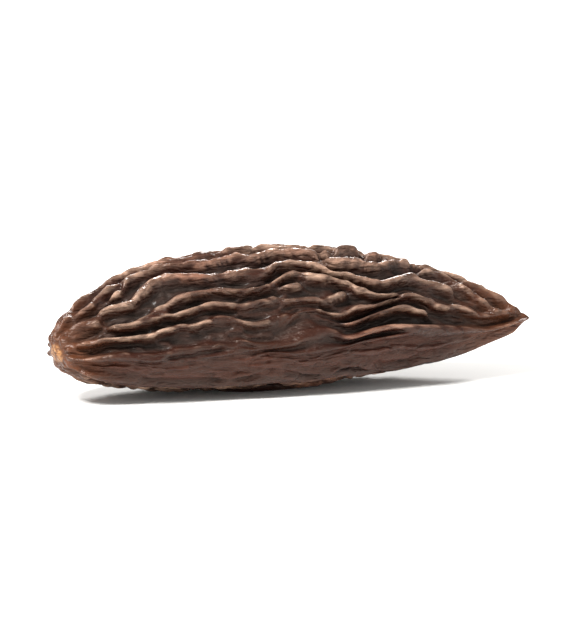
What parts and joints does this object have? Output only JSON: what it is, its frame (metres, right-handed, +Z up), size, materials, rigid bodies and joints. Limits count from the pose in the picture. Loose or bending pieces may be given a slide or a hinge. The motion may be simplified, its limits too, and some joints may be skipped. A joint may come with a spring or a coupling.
{
  "type": "tonka bean",
  "caption": "Dried tonka bean: a slim almond-shaped seed with bold lengthwise wrinkles, a blunt end with the hilum and a pointed tip, lying on its flatter side.",
  "frame": {"origin": "on the surface that the seed rests on, below the centre of its box in X and Y", "axes": "+X along the seed, towards the pointed tip; -Y towards the ventral edge; +Z up, away from the surface it rests on"},
  "size_m": [0.036, 0.0114, 0.0102],
  "materials": {
    "seed_coat": "dry wrinkled seed coat, satin and faintly waxy on the ridges, matt in the grooves"
  },
  "bodies": {
    "root": {"bean": "seed_coat"}
  },
  "joints": []
}
